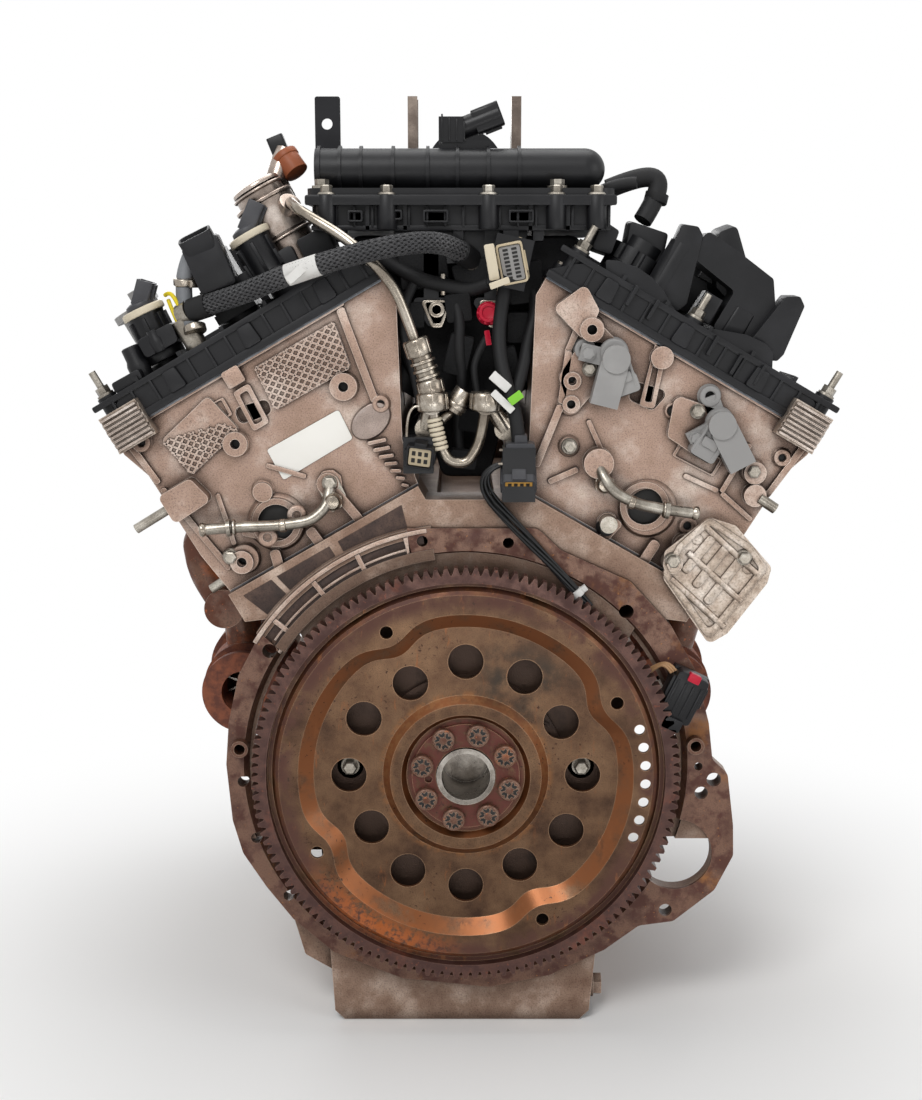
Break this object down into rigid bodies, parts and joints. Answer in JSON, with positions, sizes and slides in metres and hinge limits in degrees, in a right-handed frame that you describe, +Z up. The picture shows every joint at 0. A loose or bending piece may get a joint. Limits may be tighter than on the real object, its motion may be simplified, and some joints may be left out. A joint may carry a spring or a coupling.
{
  "type": "car engine",
  "caption": "V-type petrol engine with flexplate, ring gear, separator plate, twin-cam heads, black covers and intake, fuel lines, loom and turbochargers.",
  "frame": {"origin": "crankshaft axis at the rear face of the cylinder block, inside the pilot bore", "axes": "+Y along the crankshaft towards the front of the engine, so the flexplate faces -Y; +Z up, +X to the right seen from the flexplate"},
  "size_m": [0.609, 0.5243, 0.775],
  "materials": {
    "black_iron": "satin black",
    "bracket_plastic": "black and grey bracket",
    "cam_steel": "ground lobes",
    "cap_alloy": "machined casting",
    "cap_iron": "machined iron",
    "cap_plastic": "moulded black",
    "cast_block": "dull die casting",
    "cast_front": "die casting",
    "cast_head": "warm grey gravity casting",
    "cast_pan": "die casting",
    "cast_pump": "die casting",
    "cast_retainer": "die casting",
    "chain_steel": "oiled steel",
    "clamp_steel": "rust-tinted machined steel",
    "coil_plastic": "moulded black",
    "connector_plastic": "moulded nylon",
    "cover_plastic": "glass-filled nylon",
    "dark_bolt": "rusty dark bolt heads",
    "dowel_steel": "ground steel",
    "exhaust_iron": "brown rust",
    "fitting_plastic": "moulded black",
    "flex_steel": "brown, lightly rusted pressed steel",
    "forged_steel": "machined journals",
    "gasket_steel": "layered steel",
    "gear_steel": "red-brown rusted teeth",
    "guide_plastic": "amber nylon",
    "harness_tape": "black loom tape",
    "hose_braid": "black braid",
    "injector_plastic": "moulded black",
    "intake_plastic": "glass-filled nylon",
    "line_steel": "plain steel tube",
    "piston_alloy": "machined",
    "plate_steel": "brown steel plate with rust patches",
    "plug_steel": "nickel plate",
    "pulley_steel": "satin black",
    "pump_alloy": "die casting",
    "pump_steel": "turned steel and black plastic",
    "rail_steel": "stainless tube",
    "rotor_alloy": "cast nickel alloy",
    "sensor_grey": "pale grey nylon",
    "sensor_plastic": "moulded black",
    "shield_foil": "pressed foil",
    "throttle_alloy": "die casting",
    "throttle_brass": "turned",
    "tube_steel": "zinc plated tube",
    "turbo_iron": "red-brown rust",
    "vent_plastic": "moulded black",
    "zinc_bolt": "zinc plate"
  },
  "bodies": {
    "engine": {"braided_hose": "hose_braid", "cam_caps": "cap_alloy", "cam_cover_left": "cover_plastic", "cam_cover_right": "cover_plastic", "cam_sensors": "sensor_grey", "chain_guides": "guide_plastic", "coils": "coil_plastic", "connectors": "connector_plastic", "cover_fasteners": "zinc_bolt", "cylinder_block": "cast_block", "cylinder_head_left": "cast_head", "cylinder_head_right": "cast_head", "dowels": "dowel_steel", "exhaust_logs": "exhaust_iron", "front_cover": "cast_front", "fuel_lines": "line_steel", "fuel_pump": "pump_steel", "fuel_rails": "rail_steel", "harness": "harness_tape", "head_gaskets": "gasket_steel", "heat_shields": "shield_foil", "hose_fittings": "fitting_plastic", "injectors": "injector_plastic", "intake_lower": "intake_plastic", "intake_upper": "intake_plastic", "main_caps": "cap_iron", "map_sensor": "sensor_plastic", "oil_pan": "cast_pan", "oil_pump": "pump_alloy", "rear_fittings": "tube_steel", "seal_retainer": "cast_retainer", "separator_plate": "plate_steel", "spark_plugs": "plug_steel", "throttle_body": "throttle_alloy", "timing_chains": "chain_steel", "turbochargers": "turbo_iron", "upright_brackets": "bracket_plastic", "vent_box": "vent_plastic", "water_pump": "cast_pump"},
    "crank": {"flexplate": "flex_steel", "clamp_disc": "clamp_steel", "spline_bolts": "dark_bolt", "ring_gear": "gear_steel", "crankshaft": "forged_steel", "damper": "black_iron"},
    "throttle": {"throttle_plate": "throttle_brass"},
    "water_pump_drive": {"pump_pulley": "pulley_steel"},
    "filler_cap": {"oil_filler_cap": "cap_plastic"},
    "cam_intake_left": {"camshaft_intake_left": "cam_steel"},
    "cam_exhaust_left": {"camshaft_exhaust_left": "cam_steel"},
    "piston_left_1": {"piston_left_1": "piston_alloy"},
    "piston_left_2": {"piston_left_2": "piston_alloy"},
    "piston_left_3": {"piston_left_3": "piston_alloy"},
    "rotor_left": {"turbo_rotor_left": "rotor_alloy"},
    "cam_intake_right": {"camshaft_intake_right": "cam_steel"},
    "cam_exhaust_right": {"camshaft_exhaust_right": "cam_steel"},
    "piston_right_1": {"piston_right_1": "piston_alloy"},
    "piston_right_2": {"piston_right_2": "piston_alloy"},
    "piston_right_3": {"piston_right_3": "piston_alloy"},
    "rotor_right": {"turbo_rotor_right": "rotor_alloy"}
  },
  "joints": [
    {"name": "crank_turn", "type": "hinge", "parent": "engine", "child": "crank", "pos_m": [0, 0, 0], "axis": [0, 1, 0], "continuous": true},
    {"name": "cam_intake_left_turn", "type": "hinge", "parent": "engine", "child": "cam_intake_left", "pos_m": [-0.11791, 0.2, 0.35223], "axis": [0, 1, 0], "continuous": true},
    {"name": "cam_exhaust_left_turn", "type": "hinge", "parent": "engine", "child": "cam_exhaust_left", "pos_m": [-0.21924, 0.2, 0.29373], "axis": [0, 1, 0], "continuous": true},
    {"name": "piston_left_1_slide", "type": "slide", "parent": "engine", "child": "piston_left_1", "axis": [-0.5, 0, 0.866], "range_m": [-0.07089, 0.0158]},
    {"name": "piston_left_2_slide", "type": "slide", "parent": "engine", "child": "piston_left_2", "axis": [-0.5, 0, 0.866], "range_m": [-0.04872, 0.03797]},
    {"name": "piston_left_3_slide", "type": "slide", "parent": "engine", "child": "piston_left_3", "axis": [-0.5, 0, 0.866], "range_m": [-0.00106, 0.08563]},
    {"name": "rotor_left_spin", "type": "hinge", "parent": "engine", "child": "rotor_left", "pos_m": [-0.2, 0.185, 0.034], "axis": [0, 1, 0], "continuous": true},
    {"name": "cam_intake_right_turn", "type": "hinge", "parent": "engine", "child": "cam_intake_right", "pos_m": [0.11791, 0.2, 0.35223], "axis": [0, 1, 0], "continuous": true},
    {"name": "cam_exhaust_right_turn", "type": "hinge", "parent": "engine", "child": "cam_exhaust_right", "pos_m": [0.21924, 0.2, 0.29373], "axis": [0, 1, 0], "continuous": true},
    {"name": "piston_right_1_slide", "type": "slide", "parent": "engine", "child": "piston_right_1", "axis": [0.5, 0, 0.866], "range_m": [-0.07089, 0.0158]},
    {"name": "piston_right_2_slide", "type": "slide", "parent": "engine", "child": "piston_right_2", "axis": [0.5, 0, 0.866], "range_m": [-0.04872, 0.03797]},
    {"name": "piston_right_3_slide", "type": "slide", "parent": "engine", "child": "piston_right_3", "axis": [0.5, 0, 0.866], "range_m": [-0.00106, 0.08563]},
    {"name": "rotor_right_spin", "type": "hinge", "parent": "engine", "child": "rotor_right", "pos_m": [0.184, 0.185, 0.034], "axis": [0, 1, 0], "continuous": true},
    {"name": "throttle_turn", "type": "hinge", "parent": "engine", "child": "throttle", "pos_m": [0, 0.362, 0.504], "axis": [1, 0, 0], "range_deg": [0, 84]},
    {"name": "pump_turn", "type": "hinge", "parent": "engine", "child": "water_pump_drive", "pos_m": [0, 0.48, 0.168], "axis": [0, 1, 0], "continuous": true},
    {"name": "filler_cap_turn", "type": "hinge", "parent": "engine", "child": "filler_cap", "pos_m": [0.13466, 0.062, 0.40723], "axis": [0.5, 0, 0.866], "range_deg": [0, 90]}
  ],
  "couplings": [
    {"joint": "cam_intake_left_turn", "follows": "crank_turn", "ratio": 0.5},
    {"joint": "cam_exhaust_left_turn", "follows": "crank_turn", "ratio": 0.5},
    {"joint": "cam_intake_right_turn", "follows": "crank_turn", "ratio": 0.5},
    {"joint": "cam_exhaust_right_turn", "follows": "crank_turn", "ratio": 0.5}
  ]
}
